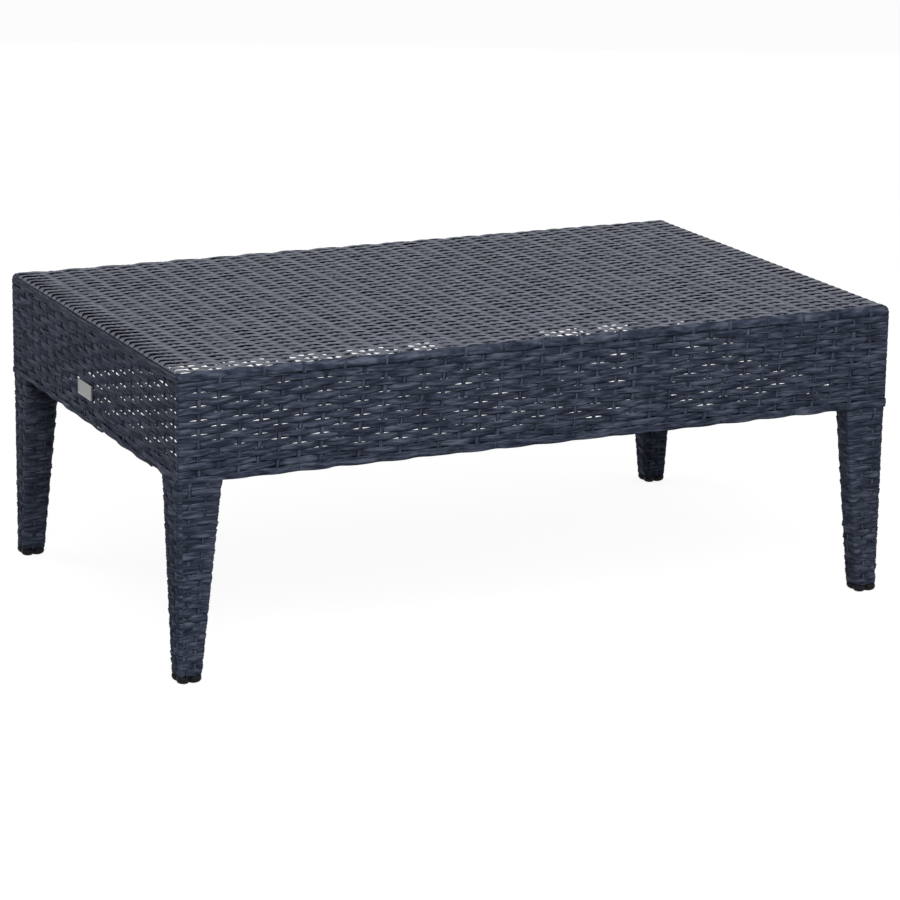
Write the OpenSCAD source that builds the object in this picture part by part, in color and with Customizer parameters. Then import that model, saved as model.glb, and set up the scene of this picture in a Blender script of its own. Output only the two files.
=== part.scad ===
// Garden coffee table of moulded wicker-look resin: a one-piece top with its aprons, open
// underneath, carried by four tapered hollow legs that bolt up into its corners.
// Origin: on the floor, under the middle of the top. +X along the length, +Z up.

/* [Table] */
// Overall length of the top
table_l = 970; // [700:10:1400]
// Overall width of the top
table_w = 600; // [450:10:900]
// Height of the top face above the floor
table_h = 380; // [320:5:500]
// Depth of the aprons below the top face
apron_h = 131; // [110:1:180]
// Rounding of the outer edges of the top and its vertical corners
edge_r = 8; // [4:1:12]

/* [Shell] */
// Thickness of the apron walls
wall_t = 4; // [3:0.5:6]
// Thickness of the table top
top_t = 4; // [3:0.5:6]
// Inward reach of the lip along the lower edge of the aprons
hem_w = 8; // [5:1:14]
// Thickness of that lip
hem_t = 3; // [2:0.5:5]
// Thickness of the corner decks that the legs bolt up to
deck_t = 3; // [2.5:0.5:6]
// Depth of the stiffening ribs under the top
rib_h = 16; // [10:1:24]
// Thickness of those ribs
rib_t = 3; // [2:0.5:5]
// Largest distance between two neighbouring ribs
rib_pitch = 90; // [70:10:220]

/* [Legs] */
// Width of a leg's outer faces under its rim
leg_top_w = 55; // [45:1:75]
// Width of a leg at its lower end
leg_foot_w = 30; // [26:1:44]
// Rounding of a leg's inner corner at the top
leg_inner_r = 40; // [20:1:44]
// Rounding of a leg's other corners
leg_corner_r = 6; // [4:0.5:8]
// Wall thickness of a leg
leg_wall_t = 3.5; // [2.5:0.5:4]
// Height of the rim round the top of a leg
rim_h = 9; // [6:1:14]
// How far the rim stands out from the leg
rim_out = 1; // [0.5:0.5:2]
// Height of the shadow groove between a leg's rim and the apron
groove_h = 2; // [1:0.5:4]
// Depth of that groove
groove_d = 2; // [1:0.5:3]
// Thickness of the flange on top of a leg
flange_t = 3; // [2.5:0.5:6]
// How far the flange reaches past the leg towards the middle of the table
flange_reach = 15; // [14:1:24]

/* [Feet] */
// Height of the leg's lower end above the floor
foot_h = 9; // [8:0.5:14]
// Radius of the four lobes of a foot
lobe_r = 7.5; // [6:0.5:7.5]
// Distance of each lobe from the foot's centre lines
lobe_at = 7.5; // [7:0.5:8]
// How far a lobe is flattened where it stands on the floor
lobe_flat = 0.5; // [0.3:0.1:1]
// Height of the spigot that holds a foot in its leg
spigot_h = 14; // [8:1:24]

/* [Fasteners] */
// Thread diameter of the leg bolts
bolt_d = 5; // [4:1:6]
// Thread diameter of the screws that hold the brace
screw_d = 4; // [3:1:5]

/* [Brace] */
// Width of the channel under the middle of the top
brace_w = 30; // [24:1:44]
// Depth of that channel
brace_h = 54; // [30:1:70]
// Sheet thickness of the channel
brace_t = 2; // [1.5:0.5:3]

/* [Label] */
// Length of the blank label plate
label_l = 48; // [36:1:70]
// Height of the label plate
label_h = 19; // [14:1:26]
// Thickness of the label plate and depth of its pocket
label_t = 2; // [1:0.5:2]
// Distance of the plate's centre from the table's centre line
label_y = 19; // [-60:1:60]
// Height of the plate's centre above the apron's lower edge
label_z = 38; // [20:1:70]

/* [Hidden] */

$fn = 48;

// Clearance between a moulding and what drops into it
fit = 0.3;
// Clearance of a fastener in a drilled or moulded hole, on the radius
hole_fit = 0.4;
// Clearance of a nut, clip or boss round its own thread or stud, on the radius
thread_fit = 0.05;
// Overlap that lets cuts run past a face
eps = 1;
// Straight steps in each rounded corner of a leg
arc_steps = 8;

resin = [0.20, 0.22, 0.26];
resin_dark = [0.14, 0.15, 0.17];
zinc = [0.72, 0.73, 0.74];
black = [0.04, 0.04, 0.045];
silver = [0.70, 0.71, 0.72];

apron_z = table_h - apron_h;
top_under_z = table_h - top_t;

// Legs: measured inward from the corner of the top, in both directions
flange_w = leg_top_w + flange_reach;
flange_at = wall_t + fit;
lip_gap = 1;
deck_w = flange_w + 2 * lip_gap;
deck_z = apron_z + flange_t;
rim_top_z = apron_z - groove_h;
leg_inset = rim_out;
leg_foot_centre = leg_inset + leg_foot_w / 2;

// Bolts: one head size follows the thread
bolt_r = bolt_d / 2;
head_r = bolt_d * 0.85;
head_h = bolt_d * 0.7;
washer_r = bolt_d * 1.05;
washer_t = 1;
nut_r = bolt_d * 0.92;
nut_h = bolt_d * 0.8;
bolt_line = flange_w - washer_r - 2;
bolt_side = flange_at + washer_r + 13;
bolt_spots = [[bolt_line, bolt_side], [bolt_line, bolt_line], [bolt_side, bolt_line]];

// Ribs: evenly spread, at most rib_pitch apart, with the brace's bay left open in the middle
inner_l = table_l - 2 * wall_t;
inner_w = table_w - 2 * wall_t;
long_ribs = ceil(inner_w / rib_pitch) - 1;
long_step = inner_w / (long_ribs + 1);
half_bay = (inner_l - brace_w) / 2;
cross_ribs = ceil(half_bay / rib_pitch) - 1;
cross_step = half_bay / (cross_ribs + 1);

// Brace: hangs from the long ribs and from a boss in every second bay between them
brace_z = top_under_z - rib_h;
screw_r = screw_d / 2;
boss_r = screw_d * 1.5;
screw_grip = 10;
boss_ys = [for (i = [0 : 2 : long_ribs]) -inner_w / 2 + long_step * (i + 0.5)];

// Label
label_fit = 0.2;
stud_r = 1.5;
stud_at = label_l / 2 - 8;
clip_r = 4.5;
clip_t = 1.2;
stud_end = 1.5;

// ---------- shared shapes ----------

// Block with every edge rounded except those of its lower face
module rounded_block(l, w, z0, z1, r) {
    for (x = [-1, 1], y = [-1, 1]) {
        translate([x * (l / 2 - r), y * (w / 2 - r), z0]) cylinder(r = r, h = z1 - r - z0);
        translate([x * (l / 2 - r), y * (w / 2 - r), z1 - r]) sphere(r = r);
    }
    for (y = [-1, 1])
        translate([-l / 2 + r, y * (w / 2 - r), z1 - r])
            rotate([0, 90, 0]) cylinder(r = r, h = l - 2 * r);
    for (x = [-1, 1])
        translate([x * (l / 2 - r), -w / 2 + r, z1 - r])
            rotate([-90, 0, 0]) cylinder(r = r, h = w - 2 * r);
    translate([-l / 2 + r, -w / 2, z0]) cube([l - 2 * r, w, z1 - r - z0]);
    translate([-l / 2, -w / 2 + r, z0]) cube([l, w - 2 * r, z1 - r - z0]);
    translate([-l / 2 + r, -w / 2 + r, z0]) cube([l - 2 * r, w - 2 * r, z1 - z0]);
}

// Puts a shape drawn in the front left corner's own frame at any corner.
// In that frame the table's corner is at the origin and X and Y run inward.
module at_corner(sx, sy) {
    mirror([sx > 0 ? 1 : 0, 0, 0])
        mirror([0, sy > 0 ? 1 : 0, 0])
            translate([-table_l / 2, -table_w / 2, 0]) children();
}

// Points of an arc, from angle a0 to angle a1
function arc(x, y, r, a0, a1) =
    [for (i = [0 : arc_steps]) let (a = a0 + (a1 - a0) * i / arc_steps) [x + r * cos(a), y + r * sin(a)]];

// One level of a leg: outer faces at the inset, three small corners and one big inner one
module leg_level(z, h, w, inset, inner_r, r) {
    far = inset + w;
    translate([0, 0, z]) linear_extrude(h) polygon(concat(
        arc(inset + r, inset + r, r, 180, 270),
        arc(far - r, inset + r, r, 270, 360),
        arc(far - inner_r, far - inner_r, inner_r, 0, 90),
        arc(inset + r, far - r, r, 90, 180)
    ));
}

// Solid of a leg between its lower end and its rim, drawn in by the distance d
module leg_taper(d, z0, z1) {
    bottom_r = max(leg_corner_r - d, 1);
    hull() {
        leg_level(z1 - 1, 1, leg_top_w - 2 * d, leg_inset + d, leg_inner_r - d, bottom_r);
        leg_level(z0, 1, leg_foot_w - 2 * d, leg_inset + d, bottom_r, bottom_r);
    }
}

// ---------- top ----------

module corner_deck() {
    difference() {
        translate([wall_t - eps, wall_t - eps, deck_z])
            cube([deck_w - wall_t + eps, deck_w - wall_t + eps, deck_t]);
        for (p = bolt_spots)
            translate([p[0], p[1], deck_z - eps]) cylinder(r = bolt_r + hole_fit, h = deck_t + 2 * eps);
    }
}

// The lip runs from flange to flange and a little under the decks
module hem_lip() {
    lip_l = table_l - 2 * (flange_w + lip_gap);
    lip_w = table_w - 2 * (flange_w + lip_gap);
    for (y = [-1, 1])
        translate([-lip_l / 2, y * (inner_w / 2 - hem_w / 2 + eps / 2) - (hem_w + eps) / 2, apron_z])
            cube([lip_l, hem_w + eps, hem_t]);
    for (x = [-1, 1])
        translate([x * (inner_l / 2 - hem_w / 2 + eps / 2) - (hem_w + eps) / 2, -lip_w / 2, apron_z])
            cube([hem_w + eps, lip_w, hem_t]);
}

module top_ribs() {
    for (i = [1 : long_ribs])
        translate([-inner_l / 2 - eps, -inner_w / 2 + i * long_step - rib_t / 2, brace_z])
            cube([inner_l + 2 * eps, rib_t, rib_h + eps]);
    for (s = [-1, 1], i = [0 : cross_ribs])
        translate([s * (brace_w / 2 + i * cross_step) - rib_t / 2, -inner_w / 2 - eps, brace_z])
            cube([rib_t, inner_w + 2 * eps, rib_h + eps]);
}

module brace_boss(y) {
    difference() {
        translate([0, y, brace_z]) cylinder(r = boss_r, h = rib_h + eps);
        translate([0, y, brace_z - eps]) cylinder(r = screw_r + thread_fit, h = screw_grip + eps + 1);
    }
}

module label_pocket() {
    translate([-table_l / 2 - eps, label_y - label_l / 2 - label_fit, apron_z + label_z - label_h / 2 - label_fit])
        cube([label_t + eps, label_l + 2 * label_fit, label_h + 2 * label_fit]);
    for (s = [-1, 1])
        translate([-table_l / 2, label_y + s * stud_at, apron_z + label_z])
            rotate([0, 90, 0]) cylinder(r = stud_r + thread_fit, h = wall_t + eps);
}

module table_top_shell() {
    color(resin) difference() {
        union() {
            difference() {
                rounded_block(table_l, table_w, apron_z, table_h, edge_r);
                translate([-inner_l / 2, -inner_w / 2, apron_z - eps])
                    cube([inner_l, inner_w, apron_h - top_t + eps]);
            }
            top_ribs();
            hem_lip();
            for (y = boss_ys) brace_boss(y);
            for (x = [-1, 1], y = [-1, 1]) at_corner(x, y) corner_deck();
        }
        label_pocket();
    }
}

// ---------- brace ----------

module centre_brace() {
    brace_l = inner_w - 2;
    color(resin_dark) difference() {
        translate([-brace_w / 2, -brace_l / 2, brace_z - brace_h]) cube([brace_w, brace_l, brace_h]);
        translate([-brace_w / 2 + brace_t, -brace_l / 2 - eps, brace_z - brace_h - eps])
            cube([brace_w - 2 * brace_t, brace_l + 2 * eps, brace_h - brace_t + eps]);
        for (y = boss_ys)
            translate([0, y, brace_z - brace_t - eps])
                cylinder(r = screw_r + hole_fit, h = brace_t + 2 * eps);
    }
}

module brace_screws() {
    color(zinc) for (y = boss_ys) translate([0, y, brace_z - brace_t]) {
        cylinder(r = screw_r, h = screw_grip + brace_t);
        difference() {
            translate([0, 0, -screw_d * 0.6]) cylinder(r = screw_d, h = screw_d * 0.6);
            translate([0, 0, -screw_d * 0.6 - eps]) cylinder(r = screw_d * 0.45, h = screw_d * 0.3 + eps, $fn = 6);
        }
    }
}

// ---------- legs ----------

module leg() {
    color(resin) difference() {
        union() {
            leg_taper(0, foot_h, rim_top_z);
            // Rim, groove and flange are stacked on the taper
            leg_level(rim_top_z - rim_h, rim_h, leg_top_w + 2 * rim_out, 0,
                      leg_inner_r + rim_out, leg_corner_r + rim_out);
            leg_level(rim_top_z - eps, groove_h + eps, leg_top_w - 2 * groove_d,
                      leg_inset + groove_d, leg_inner_r - groove_d, leg_corner_r - groove_d);
            translate([flange_at, flange_at, apron_z])
                cube([flange_w - flange_at, flange_w - flange_at, flange_t]);
        }
        leg_taper(leg_wall_t, foot_h - 1, rim_top_z - leg_wall_t);
        for (p = bolt_spots)
            translate([p[0], p[1], apron_z - eps]) cylinder(r = bolt_r + hole_fit, h = flange_t + 2 * eps);
    }
}

module leg_front_left() { at_corner(-1, -1) leg(); }
module leg_front_right() { at_corner(1, -1) leg(); }
module leg_back_left() { at_corner(-1, 1) leg(); }
module leg_back_right() { at_corner(1, 1) leg(); }

// ---------- feet ----------

// Rubber plug with four lobes, pushed into the leg's open lower end
module foot() {
    lobe_z = lobe_r - lobe_flat;
    plug_w = leg_foot_w - 2 * leg_wall_t - 2 * fit;
    plate_w = leg_foot_w - 4;
    color(black) translate([leg_foot_centre, leg_foot_centre, 0]) {
        intersection() {
            for (x = [-1, 1], y = [-1, 1])
                translate([x * lobe_at, y * lobe_at, lobe_z]) sphere(r = lobe_r);
            translate([-leg_foot_w, -leg_foot_w, 0]) cube([2 * leg_foot_w, 2 * leg_foot_w, foot_h]);
        }
        translate([-plate_w / 2, -plate_w / 2, foot_h - 2.5]) cube([plate_w, plate_w, 2.5]);
        for (x = [-1, 1], y = [-1, 1])
            translate([x * (plug_w / 2 - 3), y * (plug_w / 2 - 3), foot_h - eps])
                cylinder(r = 3, h = spigot_h + eps);
        translate([-plug_w / 2 + 3, -plug_w / 2, foot_h - eps])
            cube([plug_w - 6, plug_w, spigot_h + eps]);
        translate([-plug_w / 2, -plug_w / 2 + 3, foot_h - eps])
            cube([plug_w, plug_w - 6, spigot_h + eps]);
    }
}

module foot_front_left() { at_corner(-1, -1) foot(); }
module foot_front_right() { at_corner(1, -1) foot(); }
module foot_back_left() { at_corner(-1, 1) foot(); }
module foot_back_right() { at_corner(1, 1) foot(); }

// ---------- leg fasteners ----------

module leg_bolts() {
    shank_h = washer_t + flange_t + deck_t + nut_h + 1.5;
    color(zinc) for (p = bolt_spots) translate([p[0], p[1], apron_z - washer_t]) {
        cylinder(r = bolt_r, h = shank_h);
        translate([0, 0, -head_h]) cylinder(r = head_r, h = head_h, $fn = 6);
    }
}

module leg_washers() {
    color(zinc) for (p = bolt_spots) translate([p[0], p[1], apron_z - washer_t]) difference() {
        cylinder(r = washer_r, h = washer_t);
        translate([0, 0, -eps]) cylinder(r = bolt_r + hole_fit, h = washer_t + 2 * eps);
    }
}

module leg_nuts() {
    color(zinc) for (p = bolt_spots) translate([p[0], p[1], deck_z + deck_t]) difference() {
        cylinder(r = nut_r, h = nut_h, $fn = 6);
        translate([0, 0, -eps]) cylinder(r = bolt_r + thread_fit, h = nut_h + 2 * eps);
    }
}

module leg_bolts_front_left() { at_corner(-1, -1) leg_bolts(); }
module leg_bolts_front_right() { at_corner(1, -1) leg_bolts(); }
module leg_bolts_back_left() { at_corner(-1, 1) leg_bolts(); }
module leg_bolts_back_right() { at_corner(1, 1) leg_bolts(); }
module leg_washers_front_left() { at_corner(-1, -1) leg_washers(); }
module leg_washers_front_right() { at_corner(1, -1) leg_washers(); }
module leg_washers_back_left() { at_corner(-1, 1) leg_washers(); }
module leg_washers_back_right() { at_corner(1, 1) leg_washers(); }
module leg_nuts_front_left() { at_corner(-1, -1) leg_nuts(); }
module leg_nuts_front_right() { at_corner(1, -1) leg_nuts(); }
module leg_nuts_back_left() { at_corner(-1, 1) leg_nuts(); }
module leg_nuts_back_right() { at_corner(1, 1) leg_nuts(); }

// ---------- label ----------

// Blank plate with a raised border and two studs through the apron wall
module label_plate() {
    border = 1.6;
    face_step = 0.5;
    color(silver) translate([-table_l / 2, label_y, apron_z + label_z]) {
        difference() {
            translate([0, -label_l / 2, -label_h / 2]) cube([label_t, label_l, label_h]);
            translate([-eps, -label_l / 2 + border, -label_h / 2 + border])
                cube([face_step + eps, label_l - 2 * border, label_h - 2 * border]);
        }
        for (s = [-1, 1])
            translate([label_t / 2, s * stud_at, 0])
                rotate([0, 90, 0]) cylinder(r = stud_r, h = wall_t - label_t / 2 + clip_t + stud_end);
    }
}

module label_clips() {
    color(zinc) for (s = [-1, 1])
        translate([-table_l / 2 + wall_t, label_y + s * stud_at, apron_z + label_z])
            rotate([0, 90, 0]) difference() {
                cylinder(r = clip_r, h = clip_t);
                translate([0, 0, -eps]) cylinder(r = stud_r + thread_fit, h = clip_t + 2 * eps);
            }
}

table_top_shell();
centre_brace();
brace_screws();
leg_front_left();
leg_front_right();
leg_back_left();
leg_back_right();
foot_front_left();
foot_front_right();
foot_back_left();
foot_back_right();
leg_bolts_front_left();
leg_bolts_front_right();
leg_bolts_back_left();
leg_bolts_back_right();
leg_washers_front_left();
leg_washers_front_right();
leg_washers_back_left();
leg_washers_back_right();
leg_nuts_front_left();
leg_nuts_front_right();
leg_nuts_back_left();
leg_nuts_back_right();
label_plate();
label_clips();
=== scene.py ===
import math

import bpy
import numpy as np
from mathutils import Matrix, Vector


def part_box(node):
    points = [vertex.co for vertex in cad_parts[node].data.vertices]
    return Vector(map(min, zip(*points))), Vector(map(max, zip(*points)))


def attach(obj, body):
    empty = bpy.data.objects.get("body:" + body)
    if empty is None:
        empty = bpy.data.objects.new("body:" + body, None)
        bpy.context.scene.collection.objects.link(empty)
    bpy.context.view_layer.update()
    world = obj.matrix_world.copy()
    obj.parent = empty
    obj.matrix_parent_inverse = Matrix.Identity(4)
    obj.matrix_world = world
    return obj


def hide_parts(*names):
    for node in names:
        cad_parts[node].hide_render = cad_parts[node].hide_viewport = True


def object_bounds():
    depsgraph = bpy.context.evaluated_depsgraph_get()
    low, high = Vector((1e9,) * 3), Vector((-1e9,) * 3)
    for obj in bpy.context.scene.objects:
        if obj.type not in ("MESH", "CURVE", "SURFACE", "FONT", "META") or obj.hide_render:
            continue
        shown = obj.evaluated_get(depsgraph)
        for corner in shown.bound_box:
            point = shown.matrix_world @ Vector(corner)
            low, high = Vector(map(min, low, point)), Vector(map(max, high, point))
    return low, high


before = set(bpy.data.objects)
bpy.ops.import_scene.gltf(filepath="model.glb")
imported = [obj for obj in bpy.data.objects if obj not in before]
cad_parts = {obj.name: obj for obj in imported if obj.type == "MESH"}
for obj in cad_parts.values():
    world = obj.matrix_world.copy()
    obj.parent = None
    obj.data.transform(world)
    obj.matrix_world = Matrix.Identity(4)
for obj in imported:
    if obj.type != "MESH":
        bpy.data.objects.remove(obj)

# Garden coffee table in woven-look resin. Lengths in the dictionaries are millimetres,
# everything handed to Blender is in metres.
mm = 0.001
cadLow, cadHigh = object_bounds()
scene = bpy.context.scene

shellLow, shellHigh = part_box("table_top_shell")
halfLength = shellHigh.x / mm
halfWidth = shellHigh.y / mm
topZ = shellHigh.z / mm
apronZ = shellLow.z / mm
apronHeight = topZ - apronZ


# mesh helpers

strandUv = {"across": 0.02, "alongShift": 0.173, "acrossShift": 0.061}


def newStore():
    return {"points": [], "quads": [], "quadUvs": [], "caps": [], "count": 0, "strands": 0}


def addStrand(store, xyz, along, flip=False):
    # xyz is rings x profile points x 3, in millimetres; along is the length at each ring
    # every strand is shifted to its own part of the noise, so no two look the same
    n, m, _ = xyz.shape
    index = store["count"] + np.arange(n * m).reshape(n, m)
    a = index[:-1]
    b = index[1:]
    quads = np.stack([a, b, np.roll(b, -1, axis=1), np.roll(a, -1, axis=1)], -1).reshape(-1, 4)
    u = along * mm + store["strands"] * strandUv["alongShift"]
    v = np.arange(m + 1) / m * strandUv["across"] + store["strands"] * strandUv["acrossShift"]
    u0 = np.repeat(u[:-1], m)
    u1 = np.repeat(u[1:], m)
    v0 = np.tile(v[:-1], n - 1)
    v1 = np.tile(v[1:], n - 1)
    uvs = np.stack([u0, v0, u1, v0, u1, v1, u0, v1], -1).reshape(-1, 4, 2)
    firstCap = index[0]
    lastCap = index[-1][::-1]
    if flip:
        quads = quads[:, ::-1]
        uvs = uvs[:, ::-1]
        firstCap = firstCap[::-1]
        lastCap = lastCap[::-1]
    store["points"].append(xyz.reshape(-1, 3))
    store["quads"].append(quads)
    store["quadUvs"].append(uvs)
    store["caps"] += [firstCap, lastCap]
    store["count"] += n * m
    store["strands"] += 1


def addBox(store, low, high, bevel=0.4):
    # a block with small chamfers all round, as rings up the Z axis
    lx, ly, lz = low
    hx, hy, hz = high
    rings = []
    for z, inset in ((lz, bevel), (lz + bevel, 0), (hz - bevel, 0), (hz, bevel)):
        x0, x1, y0, y1 = lx + inset, hx - inset, ly + inset, hy - inset
        rings.append([(x0, y0, z), (x1, y0, z), (x1, y1, z), (x0, y1, z)])
    addStrand(store, np.array(rings, float), np.array([0, bevel, hz - lz - bevel, hz - lz]), flip=True)


def makePiece(name, store, material, nodes, smooth=True, mirror=(1, 1)):
    # one mesh from all strands of a store; mirror flips it for the legs' and feet's other corners
    points = np.concatenate(store["points"]) * mm
    points[:, 0] *= mirror[0]
    points[:, 1] *= mirror[1]
    points = np.clip(points, np.array(cadLow), np.array(cadHigh))
    quads = np.concatenate(store["quads"])
    uvs = np.concatenate(store["quadUvs"])
    caps = store["caps"]
    if mirror[0] * mirror[1] < 0:
        quads = quads[:, ::-1]
        uvs = uvs[:, ::-1]
        caps = [c[::-1] for c in caps]
    loops = np.concatenate([quads.ravel(), *caps])
    sizes = np.array([4] * len(quads) + [len(c) for c in caps])
    starts = np.concatenate([[0], np.cumsum(sizes)[:-1]])
    mesh = bpy.data.meshes.new(name)
    mesh.vertices.add(len(points))
    mesh.vertices.foreach_set("co", points.astype(np.float32).ravel())
    mesh.loops.add(len(loops))
    mesh.loops.foreach_set("vertex_index", loops.astype(np.int32))
    mesh.polygons.add(len(sizes))
    mesh.polygons.foreach_set("loop_start", starts.astype(np.int32))
    mesh.update(calc_edges=True)
    uvLayer = mesh.uv_layers.new(name="strand")
    flat = np.zeros((len(loops), 2), np.float32)
    flat[:quads.size] = uvs.reshape(-1, 2)
    uvLayer.data.foreach_set("uv", flat.ravel())
    shade = np.zeros(len(sizes), bool)
    shade[:len(quads)] = smooth
    mesh.polygons.foreach_set("use_smooth", shade)
    mesh.update()
    piece = bpy.data.objects.new(name, mesh)
    scene.collection.objects.link(piece)
    mesh.materials.append(material)
    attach(piece, "root")
    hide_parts(*nodes)
    print("made", name, len(mesh.polygons), "faces")


def shellPiece(name, store, material, smooth=True):
    makePiece(name, store, material, ["table_top_shell"], smooth)


# materials

def newMaterial(name):
    material = bpy.data.materials.new(name)
    material.use_nodes = True
    tree = material.node_tree
    return material, tree, tree.nodes["Principled BSDF"]


def addNode(tree, kind, values, links):
    # a node with these values on its sockets and these links into them
    node = tree.nodes.new("ShaderNode" + kind)
    for socket, value in values.items():
        node.inputs[socket].default_value = value
    for socket, source in links.items():
        tree.links.new(source, node.inputs[socket])
    return node


def noise(tree, vector, scale=1.0, detail=3.0, roughness=0.55):
    values = {"Scale": scale, "Detail": detail, "Roughness": roughness}
    return addNode(tree, "TexNoise", values, {"Vector": vector}).outputs["Fac"]


def stretched(tree, source, scale):
    return addNode(tree, "Mapping", {"Scale": scale}, {"Vector": source}).outputs["Vector"]


def ramp(tree, value, places, colours):
    node = addNode(tree, "ValToRGB", {}, {"Fac": value})
    elements = node.color_ramp.elements
    elements[0].position, elements[1].position = places[0], places[-1]
    for place in places[1:-1]:
        elements.new(place)
    for element, colour in zip(elements, colours):
        element.color = (*colour, 1)
    return node.outputs["Color"]


def remap(tree, value, low, high):
    return addNode(tree, "MapRange", {"To Min": low, "To Max": high}, {"Value": value}).outputs["Result"]


def bump(tree, height, strength, distance):
    values = {"Strength": strength, "Distance": distance}
    return addNode(tree, "Bump", values, {"Height": height}).outputs["Normal"]


def dress(tree, shader, look, pattern, colours, grain, roughness):
    # colours along one pattern, roughness and bump from a finer one
    tree.links.new(ramp(tree, pattern, look["stops"], colours), shader.inputs["Base Color"])
    tree.links.new(remap(tree, grain, *roughness), shader.inputs["Roughness"])
    tree.links.new(bump(tree, grain, *look["bump"]), shader.inputs["Normal"])


def shades(colour, *factors):
    return [tuple(c * factor for c in colour) for factor in factors]


resinLook = {
    "dark": (0.014, 0.0175, 0.028),
    "middle": (0.038, 0.045, 0.070),
    "light": (0.098, 0.112, 0.152),
    "roughness": (0.36, 0.54),
    "fibreScale": (42, 250, 1),       # long along the strand, fine across it
    "toneScale": (22, 95, 1),
    "fibreDetail": 0.6,
    "fibreShare": 0.6,
    "toneShare": 0.4,
    "stops": (0.38, 0.50, 0.63),      # places of dark, middle and light
    "bump": (0.7, 0.0016),            # strength and distance
    "ior": 1.5,
}


def wickerResin(name, shift, specular):
    look = resinLook
    material, tree, shader = newMaterial(name)
    uv = tree.nodes.new("ShaderNodeUVMap")
    uv.uv_map = "strand"
    place = uv.outputs["UV"]
    fibres = noise(tree, stretched(tree, place, look["fibreScale"]), roughness=look["fibreDetail"])
    tone = noise(tree, stretched(tree, place, look["toneScale"]), detail=2.0)
    share = addNode(tree, "Math", {1: look["toneShare"]}, {0: tone})
    share.operation = "MULTIPLY"
    mix = addNode(tree, "Math", {1: look["fibreShare"]}, {0: fibres, 2: share.outputs[0]})
    mix.operation = "MULTIPLY_ADD"
    colours = [shades(look[key], shift)[0] for key in ("dark", "middle", "light")]
    dress(tree, shader, look, mix.outputs[0], colours, fibres, look["roughness"])
    shader.inputs["IOR"].default_value = look["ior"]
    shader.inputs["Specular IOR Level"].default_value = specular
    return material


plasticLook = {"cloudScale": 14, "darker": 0.82, "lighter": 1.2, "stops": (0.3, 0.7), "spread": 0.08,
               "bump": (0.35, 0.0001)}


def mouldedPlastic(name, colour, roughness, grain=900, specular=0.3):
    look = plasticLook
    material, tree, shader = newMaterial(name)
    place = tree.nodes.new("ShaderNodeTexCoord").outputs["Object"]
    fine = noise(tree, place, grain)
    cloud = noise(tree, place, look["cloudScale"])
    dress(tree, shader, look, cloud, shades(colour, look["darker"], look["lighter"]), fine,
          (roughness - look["spread"], roughness + look["spread"]))
    shader.inputs["Specular IOR Level"].default_value = specular
    return material


steelLook = {"spangleScale": 260, "grainScale": 900, "darker": 0.85, "stops": (0.2, 0.8), "spread": 0.1,
             "bump": (0.2, 0.00006)}


def platedSteel(name, colour, roughness):
    look = steelLook
    material, tree, shader = newMaterial(name)
    place = tree.nodes.new("ShaderNodeTexCoord").outputs["Object"]
    spangle = addNode(tree, "TexVoronoi", {"Scale": look["spangleScale"]}, {"Vector": place})
    fine = noise(tree, place, look["grainScale"])
    dress(tree, shader, look, spangle.outputs["Distance"], shades(colour, 1, look["darker"]), fine,
          (roughness - look["spread"], roughness + look["spread"]))
    shader.inputs["Metallic"].default_value = 1.0
    return material


plateLook = {"lineScale": (1, 30, 2200), "darker": 0.82, "stops": (0.3, 0.7), "roughness": (0.38, 0.55),
             "bump": (0.3, 0.00008), "metallic": 0.6}


def brushedPlate(name, colour):
    look = plateLook
    material, tree, shader = newMaterial(name)
    place = tree.nodes.new("ShaderNodeTexCoord").outputs["Object"]
    lines = noise(tree, stretched(tree, place, look["lineScale"]), detail=4.0)
    dress(tree, shader, look, lines, shades(colour, look["darker"], 1), lines, look["roughness"])
    shader.inputs["Metallic"].default_value = look["metallic"]
    return material


resin = wickerResin("wickerResin", 1.04, 0.012)
# the top's copy has a brighter base colour, 1.1 against 1.04, painted extra light on the top; its higher
# specular gives its sheen
resinTopLighter = wickerResin("wickerResinTopLighter", 1.1, 0.28)
resinPlain = mouldedPlastic("resinInside", (0.040, 0.046, 0.060), 0.55)
# near-black painted shade for the backing bands, the skin under the top and the leg cores, so the gaps in
# the weave read as deep shadow
paintedShadeResin = mouldedPlastic("paintedShadeResin", (0.007, 0.009, 0.015), 0.7, specular=0.02)
braceBlack = mouldedPlastic("bracePowderCoat", (0.03, 0.03, 0.034), 0.5, grain=1500)
rubber = mouldedPlastic("footRubber", (0.008, 0.008, 0.010), 0.62, grain=1200, specular=0.12)
zinc = platedSteel("zincPlate", (0.60, 0.61, 0.62), 0.38)
plateSilver = brushedPlate("labelSilver", (0.285, 0.285, 0.29))
print("materials ready")


# the weave

sideWeave = {
    "rowPitch": 8.45,
    "amplitude": 1.5,        # how far a strand swings out and in
    "bend": 0.85,            # over 1 keeps the swing close to the stakes
    "thickness": 1.7,
    "crestWidth": 9.1,       # where it passes in front of a stake
    "middleWidth": 9.2,
    "troughWidth": 8.55,     # where it passes behind one
    "troughLift": 0.12,
    "stakeWidth": 5.8,
    "stakeThickness": 1.7,
    "wobble": 0.2,
    "widthWobble": 0.035,
    "depthWobble": 0.12,
}
topWeaveSet = {
    "rowPitch": 8.25,
    "amplitude": 1.2,
    "bend": 1.15,
    "thickness": 1.3,
    "crestWidth": 8.4,
    "middleWidth": 8.9,
    "troughWidth": 6.6,
    "stakeWidth": 5.2,
    "stakeThickness": 1.3,
    "wobble": 0.16,
    "widthWobble": 0.03,
    "depthWobble": 0.08,
}
facet = 3.25                 # length of one facet along a strand
tableRows = 64               # rows of random numbers for the aprons
tiltWobble = 0.06

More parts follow.
